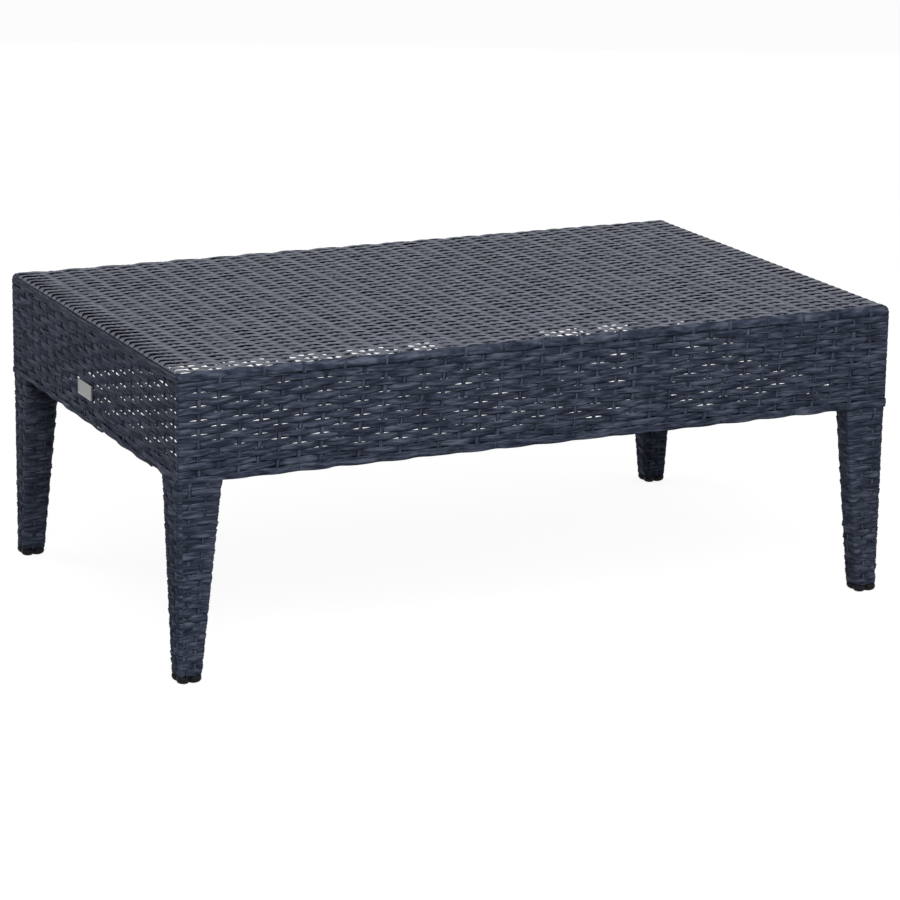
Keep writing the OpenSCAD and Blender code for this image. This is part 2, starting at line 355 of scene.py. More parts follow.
# profiles of strands and stakes: places across them, and how far each stands out there
strandAcross = np.array([-1, -0.74, -0.40, -0.05, 0.32, 0.70, 1, 0.6, -0.6])
strandRelief = np.array([-0.45, 0.60, 0.20, 1.0, 0.40, 0.85, -0.45, -0.9, -0.9])
flatRelief = np.array([-0.15, 0.70, 0.50, 0.95, 0.60, 0.85, -0.15, -0.9, -0.9])
stakeAcross = np.array([-1, -0.58, 0, 0.58, 1, 0.5, -0.5])
stakeRelief = np.array([-0.5, 1.0, 0.25, 1.0, -0.5, -0.9, -0.9])


def crossing(s, stakes, row, half):
    # 1 where a row passes in front of a stake, -1 behind one, 0 at half and further away
    nearest = np.abs(s[:, None] - stakes[None, :]).argmin(1)
    away = np.abs(s - stakes[nearest])
    return np.where((nearest + row) % 2 == 0, 1, -1) * np.cos(np.pi / 2 * np.minimum(away / half, 1))


def ringPlaces(start, end):
    return np.linspace(start, end, int((end - start) / facet) + 1)


def smoothStep(x):
    x = np.clip(x, 0, 1)
    return x * x * (3 - 2 * x)


def wave(table, phase):
    # smooth value between the random numbers of neighbouring stakes
    k = np.floor(phase).astype(int)
    f = (1 - np.cos(np.pi * (phase - k))) / 2
    n = len(table)
    return table[k % n] * (1 - f) + table[(k + 1) % n] * f


def makeTables(rng, count, length, weave):
    # random numbers for each row and stake
    return {
        "wobble": rng.normal(0, weave["wobble"], (count, length)),
        "width": rng.normal(0, weave["widthWobble"], (count, length)),
        "depth": rng.normal(0, weave["depthWobble"], (count, length)),
        "tilt": rng.normal(0, tiltWobble, (count, length)),
    }


def rowValues(tables, row, phase):
    # wobble, width, depth and tilt along a row
    keys = ("wobble", "width", "depth", "tilt")
    return [wave(tables[key][row % len(tables[key])], phase) for key in keys]


def weaverWidth(c, weave):
    over = weave["middleWidth"] - (weave["middleWidth"] - weave["crestWidth"]) * np.clip(c, 0, 1) ** 2
    under = (weave["middleWidth"] - weave["troughWidth"]) * np.clip(-c, 0, 1) ** 1.6
    return over - under


def swing(c, weave):
    return weave["amplitude"] * np.sign(c) * np.abs(c) ** weave["bend"]


def ringPoints(surface, s, t, d, halfWidths, halfThick, across, relief, tilt=0.0, alongT=False,
               limits=None):
    # rings of a strand on a surface(s, t, d): across it lies in t for weavers, in s for stakes
    offset = halfWidths[:, None] * across[None, :]
    rise = np.asarray(halfThick).reshape(-1, 1) * relief[None, :]
    depth = d[:, None] + rise + np.asarray(tilt).reshape(-1, 1) * offset
    if alongT:
        return surface(s[:, None] + offset, np.repeat(t[:, None], len(across), 1), depth)
    height = t[:, None] + offset
    if limits is not None:
        height = np.clip(height, limits[0], limits[1])
    return surface(np.repeat(s[:, None], len(across), 1), height, depth)


def runs(mask):
    # start and end of each stretch of more than two rings that is kept
    edges = np.flatnonzero(np.diff(np.concatenate([[0], mask.astype(int), [0]])))
    return [(a, b) for a, b in zip(edges[::2], edges[1::2]) if b - a > 2]


# aprons

apron = {
    "inset": 3.0,            # middle of the weave behind the outer face
    "cornerRadius": 5,
    "firstRow": 4.0,         # middle of row 0 above the lower edge
    "rows": 19,
    "halfBay": 13,           # a strand swings within this distance of a stake
    "cornerReach": 17,       # the strands lie side by side this near to a corner
    "cornerProud": 0.4,
    "endSwing": 0.65,        # share of the relief on the short sides
    "rollRadius": 8,         # rounding of the top edge
    "hemLift": 1.4,          # the lowest row stands proud
    "hemExtra": 1.6,         # it is wider by this and hangs lower by half of it
    "hemDrop": 2.2,          # and ends at most this far below the lower edge
    "hemFrom": 8,            # a row below this belongs to the hem
    "hemFade": 4,
    "edgeMargin": 1.0,
    "stakesLong": 36,
    "stakesShort": 21,
    "firstStakeLong": 28,    # from the corner
    "firstStakeShort": 20,
    "stakeWobble": 1.3,
    "stakeWidthWobble": 0.05,
    "stakeDepth": -0.1,
    "stakeRings": 42,
    "stakeStart": 0.3,
    "stakeReach": 5.5,       # the stakes of the long sides run over the top edge by this
    "stakeRise": 0.75,
    "stakeRiseFrom": 2,      # below the end of the weave
    "stakeDive": 2.6,
    "stakeDiveFrom": 1.5,    # beyond the top face
    "stakeFade": 4,
    "lean": 0.07,
    "leanBack": 0.6,         # share of the lean on the back, the other way
    "leanReach": 120,
    "droop": 4,              # of the rows towards the front left corner
    "droopReach": 210,
    "fallFrom": 0.42,        # share of the left end where the rows begin to climb
    "fallBow": 0.06,
    "topLong": 119,          # upper end of the weave above the lower edge
    "topShort": 122,
    "bandBottom": 22,
    "bandTop": 109,
    "seed": 11,
}

apronRng = np.random.default_rng(apron["seed"])
sideLong = 2 * halfLength
sideShort = 2 * halfWidth
perimeter = 2 * (sideLong + sideShort)

# s runs along the front from the left, then the right end, the back and the left end
sides = {}
sideStart = 0.0
for side, kind in (("front", "Long"), ("right", "Short"), ("back", "Long"), ("left", "Short")):
    sideEnd = sideStart + (sideLong if kind == "Long" else sideShort)
    sides[side] = (sideStart, sideEnd, kind)
    sideStart = sideEnd


def apronStakes():
    found = []
    for start, end, kind in sides.values():
        count, first = apron["stakes" + kind], apron["firstStake" + kind]
        places = np.linspace(first, end - start - first, count)
        places[1:-1] += apronRng.uniform(-apron["stakeWobble"], apron["stakeWobble"], count - 2)
        found += list(start + places)
    return np.array(found)


# the table goes on past both ends by three stakes
stakePlaces = apronStakes()
stakeCount = len(stakePlaces)
stakeTable = np.concatenate([stakePlaces[-3:] - perimeter, stakePlaces, stakePlaces[:3] + perimeter])
stakeNumbers = np.arange(-3, stakeCount + 3)


def leanAt(s):
    # how far a stake leans for each millimetre of its height, front and back, less near the corners
    s = np.mod(s, perimeter)
    lean = 0
    for side, share in (("front", 1), ("back", -apron["leanBack"])):
        start, end, _ = sides[side]
        toCorner = np.minimum(s - start, end - s)
        lean = lean + share * apron["lean"] * smoothStep(toCorner / apron["leanReach"])
    return lean


def unleaned(s, t):
    # where the stake at this point stands at half height
    return s - leanAt(s) * (np.clip(t, 0, apronHeight) - apronHeight / 2)


def apronCrossing(s, t, row):
    return crossing(unleaned(s, t), stakeTable, row - 3, apron["halfBay"])


def rowDrift(s):
    # the rows droop towards the front left corner and climb along the left end by two rows
    twoRows = 2 * sideWeave["rowPitch"]
    s = np.asarray(s, float)
    front = -apron["droop"] * (1 - smoothStep(s / apron["droopReach"]))
    backShare = np.clip((s - sides["back"][0]) / sideLong, 0, 1)
    leftShare = np.clip((s - sides["left"][0]) / sideShort, 0, 1)
    fall = np.clip((leftShare - apron["fallFrom"]) / (1 - apron["fallFrom"]), 0, 1)
    fall = fall - apron["fallBow"] * np.sin(np.pi * fall)
    return np.where(s < sideLong, front, -apron["droop"] * smoothStep(backShare) - twoRows * fall)


def roundedPath(s, inset):
    # point on the outline of the table, drawn in by inset
    s = np.mod(s, perimeter)
    r = apron["cornerRadius"]
    corners = [(-halfLength, -halfWidth), (halfLength, -halfWidth),
               (halfLength, halfWidth), (-halfLength, halfWidth)]
    x = np.zeros_like(s)
    y = np.zeros_like(s)
    for k, (start, end, _) in enumerate(sides.values()):
        angle = k * math.pi / 2
        length = end - start
        ux, uy = math.cos(angle), math.sin(angle)
        ox, oy = uy, -ux
        cx, cy = corners[k]
        local = s - start
        here = (local >= 0) & (local < length)
        # within r of either end the path bends over half the corner
        intoStart = np.clip((r - local) / r, 0, 1) * math.pi / 4
        intoEnd = np.clip((local - length + r) / r, 0, 1) * math.pi / 4
        straight = np.clip(local, r, length - r)
        px = cx + ux * straight + ox * -r
        py = cy + uy * straight + oy * -r
        turn = intoEnd - intoStart
        outX = ox * np.cos(turn) + ux * np.sin(turn)
        outY = oy * np.cos(turn) + uy * np.sin(turn)
        x = np.where(here, px + outX * (r - inset), x)
        y = np.where(here, py + outY * (r - inset), y)
    return x, y


def apronSurface(s, t, d):
    # t climbs the face, then follows the rounded top edge and runs inward on the top
    roll = apron["rollRadius"] - apron["inset"]
    straight = apronHeight - apron["rollRadius"]
    quarter = roll * math.pi / 2
    alpha = np.clip((t - straight) / roll, 0, math.pi / 2)
    beyond = np.maximum(t - straight - quarter, 0)
    inset = apron["inset"] + roll * (1 - np.cos(alpha)) + beyond - d * np.cos(alpha)
    z = apronZ + np.minimum(t, straight) + roll * np.sin(alpha) + d * np.sin(alpha)
    x, y = roundedPath(s, inset)
    return np.stack([x, y, z], -1)


# middle of the label on the left side, y towards the back and z above the lower edge
label = {"y": 19, "z": 38, "length": 48, "height": 19, "margin": 4, "recess": 1.6}
labelS = perimeter - (label["y"] + halfWidth)


def labelRecess(s, t):
    # the weave lies a little deeper round the label plate
    along = np.abs(np.mod(s, perimeter) - labelS) - label["length"] / 2
    up = np.abs(t - label["z"]) - label["height"] / 2
    near = smoothStep(1 - np.maximum(along, 0) / label["margin"])
    return label["recess"] * (near * smoothStep(1 - np.maximum(up, 0) / label["margin"]))


def cornerShare(s):
    # 1 at a vertical corner, 0 further away than the reach
    edges = np.array([start for start, _, _ in sides.values()] + [perimeter])
    distance = np.abs(np.mod(s, perimeter)[:, None] - edges[None, :]).min(1)
    return smoothStep(1 - distance / apron["cornerReach"])


def apronSide(side):
    store = newStore()
    weave = sideWeave
    start, end, kind = sides[side]
    topLimit = apron["top" + kind]
    onLongSide = kind == "Long"
    s = ringPlaces(start, end)
    drift = rowDrift(s)
    atCorner = cornerShare(s)
    relief = 1 if onLongSide else apron["endSwing"]
    for row in range(-1, apron["rows"]):
        t = row * weave["rowPitch"] + apron["firstRow"] + drift
        phase = np.interp(unleaned(s, t), stakeTable, stakeNumbers)
        c = apronCrossing(s, t, row)
        wobble, wide, deep, tilt = rowValues(rowTables, row, phase)
        t = t + wobble + weave["troughLift"] * np.clip(-c, 0, 1)
        d = swing(c, weave) * relief + deep * np.abs(c)
        d = d + (weave["amplitude"] + apron["cornerProud"]) * atCorner * (1 - np.abs(c))
        hem = smoothStep((apron["hemFrom"] - t) / apron["hemFade"])
        d = d - labelRecess(s, t) + apron["hemLift"] * hem
        extra = apron["hemExtra"] * hem
        width = weaverWidth(c, weave) * (1 + wide * (1 - atCorner)) + extra
        t = t - extra / 2
        inside = (t + width / 2 > apron["edgeMargin"]) & (t - width / 2 < topLimit - apron["edgeMargin"])
        points = ringPoints(apronSurface, s, t, d, width / 2, weave["thickness"] / 2,
                            strandAcross, strandRelief, tilt, limits=(-apron["hemDrop"], topLimit))
        for a, b in runs(inside):
            addStrand(store, points[a:b], s[a:b])
    # stakes that belong to this side
    for place in stakePlaces:
        if not start <= place < end:
            continue
        stakeTop = apronHeight + apron["stakeReach"] if onLongSide else topLimit
        t = np.linspace(apron["stakeStart"], stakeTop, apron["stakeRings"])
        sStake = place + leanAt(np.array([place]))[0] * (np.clip(t, 0, apronHeight) - apronHeight / 2)
        d = apron["stakeDepth"] - labelRecess(sStake, t)
        if onLongSide:
            # at the upper end the stake bends over the edge and dives into the slit
            rise = smoothStep((t - topLimit + apron["stakeRiseFrom"]) / apron["stakeFade"])
            dive = smoothStep((t - apronHeight - apron["stakeDiveFrom"]) / apron["stakeFade"])
            d = d + apron["stakeRise"] * rise - apron["stakeDive"] * dive
        wobble = 1 + apron["stakeWidthWobble"] * apronRng.uniform(-1, 1)
        halfWidths = np.full(len(t), weave["stakeWidth"] / 2) * wobble
        points = ringPoints(apronSurface, sStake, t, d, halfWidths, weave["stakeThickness"] / 2,
                            stakeAcross, stakeRelief, alongT=True)
        addStrand(store, points, t, flip=True)
    shellPiece("apron_weave_" + side, store, resin)


rowTables = makeTables(apronRng, tableRows, stakeCount, sideWeave)

for side in sides:
    apronSide(side)


edgeRow = {
    "overlap": 0.3,          # over the rows below
    "past": 0.4,             # beyond the top face
    "tickPitch": 2.3,
    "tickDepth": 0.5,
    "tickReach": 330,        # the ticks fade out this far from each end
    "tickFade": 0.85,
    "tickPatch": 40,
    "swing": 0.75,
    "swingRow": 14,
    "swingBelow": 4.0,
    "proud": 0.9,
    "bulge": 0.8,
    "pastCorner": 15,
    "seed": 23,
}
edgeAcross = np.array([0, 0.07, 0.25, 0.45, 0.62, 0.80, 0.94, 1.0, 0.7, 0.3])
edgeRelief = np.array([-0.9, 0.35, 0.55, 0.85, 0.6, 0.85, 0.45, -0.7, -1.0, -1.0])
edgeTicked = np.array([0, 0.3, 1, 1, 1, 1, 0.6, 0, 0, 0])


def edgeRowPiece(side):
    # the uppermost row of a long side, bent over the edge, with fine ticks across it
    store = newStore()
    start, end = sides[side][0] - edgeRow["pastCorner"], sides[side][1] + edgeRow["pastCorner"]
    rng = np.random.default_rng(edgeRow["seed"])
    s = np.arange(start, end, edgeRow["tickPitch"] / 3)
    low = apron["topLong"] - edgeRow["overlap"]
    high = apronHeight + edgeRow["past"]
    toEnd = np.minimum(s - start, end - s)
    strength = wave(rng.uniform(0.1, 1.0, 200), s / edgeRow["tickPatch"])
    strength = strength * (1 - edgeRow["tickFade"] * smoothStep(toEnd / edgeRow["tickReach"]))
    turns = s / edgeRow["tickPitch"]
    ticks = edgeRow["tickDepth"] * strength * np.cos(2 * np.pi * turns + rng.uniform(0, 6))
    swingHeight = np.full(len(s), apronHeight - edgeRow["swingBelow"])
    sway = edgeRow["swing"] * apronCrossing(s, swingHeight, edgeRow["swingRow"])
    depth = edgeRow["bulge"] * edgeRelief[None, :] + ticks[:, None] * edgeTicked[None, :]
    depth = depth + sway[:, None] + edgeRow["proud"]
    grid = np.meshgrid(s, low + (high - low) * edgeAcross, indexing="ij")
    addStrand(store, apronSurface(*grid, depth), s)
    shellPiece("edge_row_" + side, store, resin)


edgeRowPiece("front")
edgeRowPiece("back")


endStrands = {
    "heights": (119.6, 123.2),
    "width": 4.4,
    "thickness": 1.5,
    "proud": 0.75,
    "wobble": 0.7,
    "proudWobble": 0.35,
    "widthWobble": 0.2,
    "patches": (31, 23, 37),     # lengths over which height, depth and width change
    "seed": 29,
}


def endStrandPair(side):
    # two thin strands along a short side that cover the ends of the top's strands
    store = newStore()
    rng = np.random.default_rng(endStrands["seed"])
    s = ringPlaces(sides[side][0] + 1, sides[side][1] - 1)
    for height in endStrands["heights"]:
        up, out, wide = (wave(rng.uniform(-1, 1, 60), s / patch) for patch in endStrands["patches"])
        t = height + endStrands["wobble"] * up
        d = endStrands["proud"] + endStrands["proudWobble"] * out
        halfWidths = endStrands["width"] / 2 * (1 + endStrands["widthWobble"] * wide)
        points = ringPoints(apronSurface, s, t, d, halfWidths, endStrands["thickness"] / 2,
                            strandAcross, flatRelief)
        addStrand(store, points, s)
    shellPiece("edge_strands_" + side, store, resin)


endStrandPair("left")
endStrandPair("right")


backing = {"rings": 700, "across": 9, "gap": 0.25, "thick": 1.4, "lowest": 0.3, "overEdge": 2}


def backingBand(name, low, high):
    # closed strip behind the rows that let no light through, coloured near-black as painted shade
    store = newStore()
    s = np.linspace(0, perimeter, backing["rings"])
    count = backing["across"]
    depth = -(sideWeave["amplitude"] + sideWeave["thickness"] / 2 + backing["gap"])
    up = np.linspace(low, high, count)
    grid = np.meshgrid(s, np.concatenate([up, up[::-1]]), indexing="ij")
    d = np.repeat([depth, depth - backing["thick"]], count)
    addStrand(store, apronSurface(*grid, d[None, :]), s)
    shellPiece(name, store, paintedShadeResin, smooth=False)


backingBand("apron_backing_lower", backing["lowest"], apron["bandBottom"])
backingBand("apron_backing_upper", apron["bandTop"], apronHeight + backing["overEdge"])
print("aprons done")


# top

top = {
    "inset": 2.0,            # middle of the weave below the top face
    "stakes": 37,
    "firstStake": 27,        # from the short edges
    "stakeWobble": 1.2,
    "stakeDepth": -0.1,
    "stakeEnd": 6.5,         # from the long edges
    "stakeRings": 150,
    "halfBay": 12.7,
    "edgeGap": 7.6,          # outer side of the first row, from the long edges
    "flatFrom": 3,           # past the last stake by this the strands begin to lie flat
    "flatFade": 9,
    "flatWidth": 9.2,
    "flatThin": 0.35,
    "flatTilt": 0.5,
    "flatSink": 0.1,
    "slitEnd": 9,            # the slits beyond the last stake close this far from the end
    "slitFade": 7,
    "slitRight": 0.55,       # they are tighter at the right end
    "slitBase": 0.75,
    "slitWobble": 0.35,
    "slitNarrow": 3.4,       # the strands beside a slit are narrower by this
    "pairShift": 2.9,        # rows close up in pairs there
    "pairStep": 0.8,         # the second strand of a pair lies lower
    "openRows": 4,           # rows behind the front edge that swing further, left of openTo
    "openTo": 150,
    "openFade": 30,
    "openSwing": 0.12,
    "openWidth": 0.06,
    "openPair": 0.85,        # they close up less by this share
    "wrapRadius": 8,
    "wrapDown": 5,
    "wrapDive": 3.2,         # the strands end behind the apron's upper rows
    "wrapFade": 7,
    "seed": 5,
}

topRng = np.random.default_rng(top["seed"])
topRows = round((2 * halfWidth - 2 * top["edgeGap"]) / topWeaveSet["rowPitch"])
topPitch = (2 * halfWidth - 2 * top["edgeGap"]) / topRows
topStakes = np.linspace(-halfLength + top["firstStake"], halfLength - top["firstStake"], top["stakes"])
topStakes[1:-1] += topRng.uniform(-top["stakeWobble"], top["stakeWobble"], top["stakes"] - 2)
topTables = makeTables(topRng, topRows, top["stakes"] + 4, topWeaveSet)
topTables["slit"] = topRng.uniform(-top["slitWobble"], top["slitWobble"], (topRows, top["stakes"] + 4))


def topSurface(s, t, d):
    # s runs along X; past either short edge it bends down over the rounded edge
    radius = top["wrapRadius"] - top["inset"]
    r = apron["cornerRadius"]
    overCorner = np.clip(np.abs(t) - (halfWidth - r), 0, r)
    pullIn = r - np.sqrt(np.maximum(r * r - overCorner ** 2, 0))
    flat = halfLength - top["wrapRadius"] - pullIn
    side = np.sign(s)
    beyond = np.maximum(np.abs(s) - flat, 0)
    alpha = np.minimum(beyond / radius, math.pi / 2)
    down = np.maximum(beyond - radius * math.pi / 2, 0)
    x = side * (np.minimum(np.abs(s), flat) + (radius + d) * np.sin(alpha))
    z = topZ - top["inset"] - radius + (radius + d) * np.cos(alpha) - down
    return np.stack([x, t + 0 * x, z], -1)


def topPhase(s):
    # stake number at each place, going on past the ends
    pitch = topStakes[1] - topStakes[0]
    table = np.concatenate([[topStakes[0] - pitch], topStakes, [topStakes[-1] + pitch]])
    return np.interp(s, table, np.arange(-1, top["stakes"] + 1))


def topWeave(name, fromRow, toRow):
    store = newStore()
    weave = topWeaveSet
    quarter = (top["wrapRadius"] - top["inset"]) * math.pi / 2
    reach = halfLength - 2 * top["wrapRadius"] + quarter + top["wrapDown"]
    s = ringPlaces(-reach, reach)
    away = np.abs(s)
    phase = topPhase(s)
    past = smoothStep((away - topStakes[-1] - top["flatFrom"]) / top["flatFade"])
    slit = past * (1 - smoothStep((away - halfLength + top["slitEnd"]) / top["slitFade"]))
    slit = slit * np.where(s < 0, 1, top["slitRight"])
    dive = top["wrapDive"] * smoothStep((away - reach + top["wrapFade"]) / top["wrapFade"])
    for row in range(fromRow, toRow):
        wobble, wide, deep, tilt = rowValues(topTables, row, phase)
        c = crossing(s, topStakes, row, top["halfBay"])
        middle = -halfWidth + top["edgeGap"] + (row + 0.5) * topPitch
        t = middle + wobble * (1 - past)
        pair = 1 if row % 2 == 0 else -1
        loose = (row < top["openRows"]) * smoothStep((top["openTo"] - s) / top["openFade"])
        shift = top["pairShift"] * (1 - top["openPair"] * (row < top["openRows"]))
        t = t + shift * pair * slit * (top["slitBase"] + wave(topTables["slit"][row // 2], phase))
        d = swing(c, weave) * (1 + top["openSwing"] * loose) + deep * np.abs(c)
        d = d * (1 - past) + (weave["amplitude"] - top["flatSink"]) * past
        d = d - top["pairStep"] * slit * (row % 2) - dive
        width = weaverWidth(c, weave) * (1 + wide) * (1 + top["openWidth"] * loose)
        flatWidth = top["flatWidth"] - top["slitNarrow"] * slit * shift / top["pairShift"]
        width = width * (1 - past) + flatWidth * past
        tilt = tilt * (1 - top["flatTilt"] * past)
        halfThick = weave["thickness"] / 2 * (1 - top["flatThin"] * past)
        points = ringPoints(topSurface, s, t, d, width / 2, halfThick, strandAcross, flatRelief, tilt)
        addStrand(store, points, s)
    shellPiece(name, store, resinTopLighter)


def topStakeSet(name):
    store = newStore()
    weave = topWeaveSet
    t = np.linspace(-halfWidth + top["stakeEnd"], halfWidth - top["stakeEnd"], top["stakeRings"])
    d = np.full(len(t), top["stakeDepth"])
    halfWidths = np.full(len(t), weave["stakeWidth"] / 2)
    for place in topStakes:
        points = ringPoints(topSurface, np.full(len(t), place), t, d, halfWidths,
                            weave["stakeThickness"] / 2, stakeAcross, stakeRelief, alongT=True)
        addStrand(store, points, t, flip=True)
    shellPiece(name, store, resinTopLighter)


for k, third in enumerate(("front", "middle", "back")):
    topWeave("top_weave_" + third, k * topRows // 3, (k + 1) * topRows // 3)
topStakeSet("top_stakes")
print("top done")


# inside of the top

inside = {
    "wall": 4,
    "skinTop": 6.5,          # below the top face
    "skinThick": 1.6,
    "skinGap": 2,            # between the skin and the walls
    "ribDepth": 20,          # lower edge of the ribs below the top face
    "frontDepth": 14,        # the same in the bay behind the front edge
    "frontGap": 1.5,
    "ribThick": 3,
    "longRibs": 6,
    "crossRibs": 6,
    "lipWidth": 8,
    "lipThick": 3,
    "flange": 70,
    "deckLift": 3,
    "deckThick": 3,
    "deckPast": 2,           # the corner decks are longer than a leg's flange by this
    "braceWidth": 30,
    "bossRadius": 6,
    "bossBevel": 0.5,
}


def spread(side, a, b):
    # the interval from a to b, or its mirror image
    return sorted((side * a, side * b))


def underside():
    # skin and ribs of the shell, with no skin in the front bay so that light comes through there
    store = newStore()
    wide = halfWidth - inside["wall"]
    long = halfLength - inside["wall"]
    low = topZ - inside["ribDepth"]
    frontLow = topZ - inside["frontDepth"]
    skinZ = topZ - inside["skinTop"]
    ribHalf = inside["ribThick"] / 2
    longStep = 2 * wide / (inside["longRibs"] + 1)
    gap = inside["skinGap"]
    # the skin is coloured near-black as painted shade, so what shows through the top's slits reads as
    # deep shadow
    skin = newStore()
    skinLow = skinZ - inside["skinThick"]
    addBox(skin, (-long + gap, longStep - wide, skinLow), (long - gap, wide - gap, skinZ))
    shellPiece("top_inside_skin", skin, paintedShadeResin, smooth=False)
    for k in range(1, inside["longRibs"] + 1):
        y = -wide + k * longStep
        addBox(store, (-long, y - ribHalf, frontLow if k == 1 else low), (long, y + ribHalf, skinZ))
    crossStep = (long - inside["braceWidth"] / 2) / inside["crossRibs"]
    frontRib = -wide + longStep
    frontTop = skinZ - inside["frontGap"]
    for side in (-1, 1):
        for k in range(inside["crossRibs"]):
            x = side * (inside["braceWidth"] / 2 + k * crossStep)
            addBox(store, (x - ribHalf, frontRib, low), (x + ribHalf, wide, skinZ))
            addBox(store, (x - ribHalf, -wide, frontLow), (x + ribHalf, frontRib, frontTop))
    lipLong = halfLength - inside["flange"] - 1
    lipShort = halfWidth - inside["flange"] - 1
    lipZ = apronZ + inside["lipThick"]
    for side in (-1, 1):
        y0, y1 = spread(side, wide + 1, wide - inside["lipWidth"])
        addBox(store, (-lipLong, y0, apronZ), (lipLong, y1, lipZ))
        x0, x1 = spread(side, long + 1, long - inside["lipWidth"])
        addBox(store, (x0, -lipShort, apronZ), (x1, lipShort, lipZ))
    deckZ = apronZ + inside["deckLift"]
    reach = inside["flange"] + inside["deckPast"]
    for sx in (-1, 1):
        for sy in (-1, 1):
            x0, x1 = spread(sx, long, halfLength - reach)
            y0, y1 = spread(sy, wide, halfWidth - reach)
            addBox(store, (x0, y0, deckZ), (x1, y1, deckZ + inside["deckThick"]))
    # bosses that the brace is screwed to
    angles = np.linspace(0, 2 * math.pi, 24, endpoint=False)
    radius, bevel = inside["bossRadius"], inside["bossBevel"]
    for k in range(0, inside["longRibs"] + 1, 2):
        y = -wide + longStep * (k + 0.5)
        rings = [np.stack([r * np.cos(angles), y + r * np.sin(angles), np.full(24, z)], -1)
                 for z, r in ((low, radius - bevel), (low + bevel, radius), (skinZ, radius))]
        addStrand(store, np.array(rings), np.array([0, bevel, skinZ - low]), flip=True)
    shellPiece("top_inside_ribs", store, resinPlain, smooth=False)


underside()
print("inside done")


# legs

leg = {
    "topWidth": 57.5,
    "footWidth": 31,
    "inset": 1,
    "cornerRadius": 4.5,
    "innerRadius": 40,       # of the corner that faces the middle of the table
    "rowPitch": 8.4,
    "amplitude": 1.0,
    "thickness": 1.6,
    "easeReach": 0.045,      # the strands lie closer round the edges, within this share of the girth
    "easeLeast": 0.1,
    "overlap": 1.3,
    "crestWider": 0.7,
    "troughNarrower": 0.9,
    "wobbleShare": 1.5,
    "depthShare": 0.8,
    "tiltShare": 1.8,
    "rings": 72,
    "uprights": 10,
    "uprightHalf": 2.3,
    "uprightThick": 0.85,
    "uprightRise": 0.65,     # the uprights stand on the rim
    "uprightWobble": 0.004,
    "rimHeight": 9,
    "rimThick": 1.2,
    "grooveHeight": 2,
    "grooveDepth": 2,
    "flangeThick": 3,
    "flangeWidth": 70,
    "flangeGap": 0.3,
    "coreDepth": 2.0,
    "seed": 31,
}
legSteps = 24                # points on each line and arc of the outline
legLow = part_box("leg_front_left")[0].z / mm
legTaperTop = apronZ - leg["grooveHeight"]


def legOutline(width, inset, smallRadius, bigRadius):
    # points and normals round a leg, in the corner's own frame, X and Y running inward
    far = inset + width
    segments = [
        ("line", (inset + smallRadius, inset), (far - smallRadius, inset), -90),
        ("arc", (far - smallRadius, inset + smallRadius), smallRadius, -90),
        ("line", (far, inset + smallRadius), (far, far - bigRadius), 0),
        ("arc", (far - bigRadius, far - bigRadius), bigRadius, 0),
        ("line", (far - bigRadius, far), (inset + smallRadius, far), 90),
        ("arc", (inset + smallRadius, far - smallRadius), smallRadius, 90),
        ("line", (inset, far - smallRadius), (inset, inset + smallRadius), 180),
        ("arc", (inset + smallRadius, inset + smallRadius), smallRadius, 180),
    ]
    rows = []
    for kind, a, b, angle in segments:
        for k in range(legSteps):
            f = k / legSteps
            if kind == "line":
                turn = math.radians(angle)
                x = a[0] + (b[0] - a[0]) * f
                y = a[1] + (b[1] - a[1]) * f
            else:
                turn = math.radians(angle + 90 * f)
                x = a[0] + b * math.cos(turn)
                y = a[1] + b * math.sin(turn)
            rows.append((x, y, math.cos(turn), math.sin(turn)))
    rows.append(rows[0])
    return np.array(rows)


legMid = leg["amplitude"] + leg["thickness"] / 2
legRound = leg["cornerRadius"] - legMid / 2
legInset = leg["inset"] + legMid
legTopLine = legOutline(leg["topWidth"] - 2 * legMid, legInset, legRound, leg["innerRadius"] - legMid)
legFootLine = legOutline(leg["footWidth"] - 2 * legMid, legInset, legRound, legRound)
stepLengths = np.hypot(*np.diff((legTopLine + legFootLine)[:, :2] / 2, axis=0).T)
legFractions = np.concatenate([[0], np.cumsum(stepLengths)]) / stepLengths.sum()
legGirth = stepLengths.sum()


def legSurface(s, t, d):
    # s is the share of the way round, t the height above the floor
    f = np.mod(s, 1.0)
    up = np.clip((t - legLow) / (legTaperTop - legLow), 0, 1)
    bottom = [np.interp(f, legFractions, legFootLine[:, k]) for k in range(4)]
    upper = [np.interp(f, legFractions, legTopLine[:, k]) for k in range(4)]
    x = bottom[0] * (1 - up) + upper[0] * up + bottom[2] * d
    y = bottom[1] * (1 - up) + upper[1] * up + bottom[3] * d
    return np.stack([x - halfLength, y - halfWidth, t + 0 * x], -1)


# the middles of the four arcs, every second segment
cornerPlaces = legFractions[[(2 * k + 1) * legSteps + legSteps // 2 for k in range(4)]]


def legEase(s):
    # 0 on the leg's four vertical edges, 1 on its faces
    away = np.abs(np.mod(s[:, None] - cornerPlaces[None, :] + 0.5, 1.0) - 0.5).min(1)
    return smoothStep(away / leg["easeReach"])


